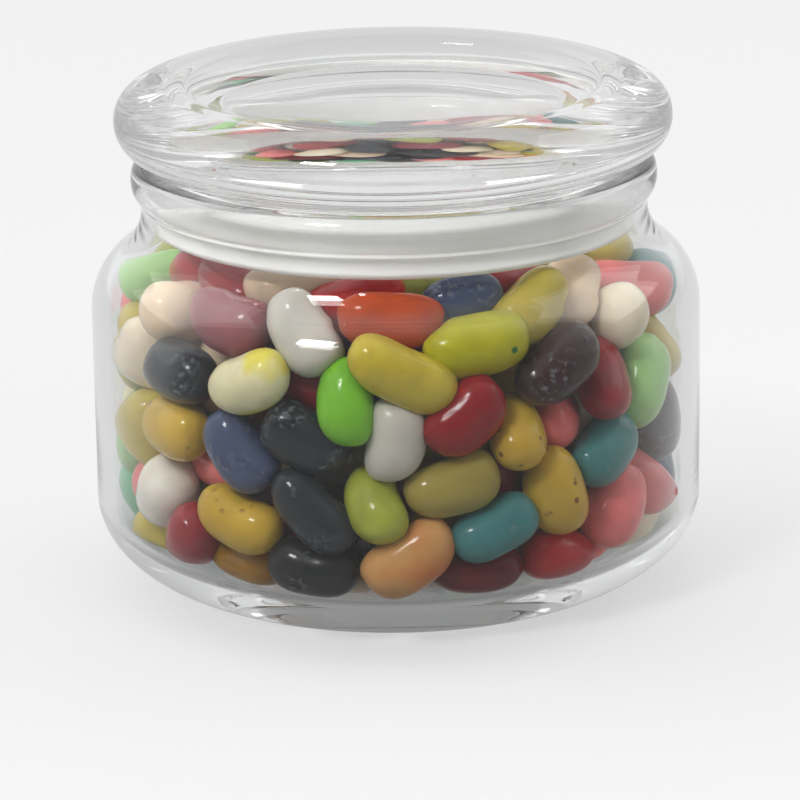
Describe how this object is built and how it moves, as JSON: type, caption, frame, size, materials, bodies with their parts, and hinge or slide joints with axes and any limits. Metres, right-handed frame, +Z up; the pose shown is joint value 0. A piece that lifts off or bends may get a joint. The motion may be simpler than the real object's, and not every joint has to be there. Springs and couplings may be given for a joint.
{
  "type": "glass jar of jelly beans",
  "caption": "Squat clear glass sweet jar with a thick glass lid and a soft ribbed seal, filled to the shoulder with multicoloured jelly beans.",
  "frame": {"origin": "middle of the jar's base, on the surface it stands on", "axes": "+Z up along the axis of the jar, -Y towards the viewer's side"},
  "size_m": [0.112, 0.112, 0.0937],
  "materials": {
    "jar_glass": "clear pressed soda-lime glass, fire-polished, with a few tiny seeds",
    "lid_glass": "clear pressed soda-lime glass, fire-polished",
    "seal_plastic": "soft translucent whitish polyethylene, satin, ribbed",
    "jelly_bean_shells": "polished hard sugar shells in many colours, some speckled"
  },
  "bodies": {
    "root": {"jar": "jar_glass", "lid": "lid_glass", "seal": "seal_plastic", "jelly_beans": "jelly_bean_shells"}
  },
  "joints": []
}
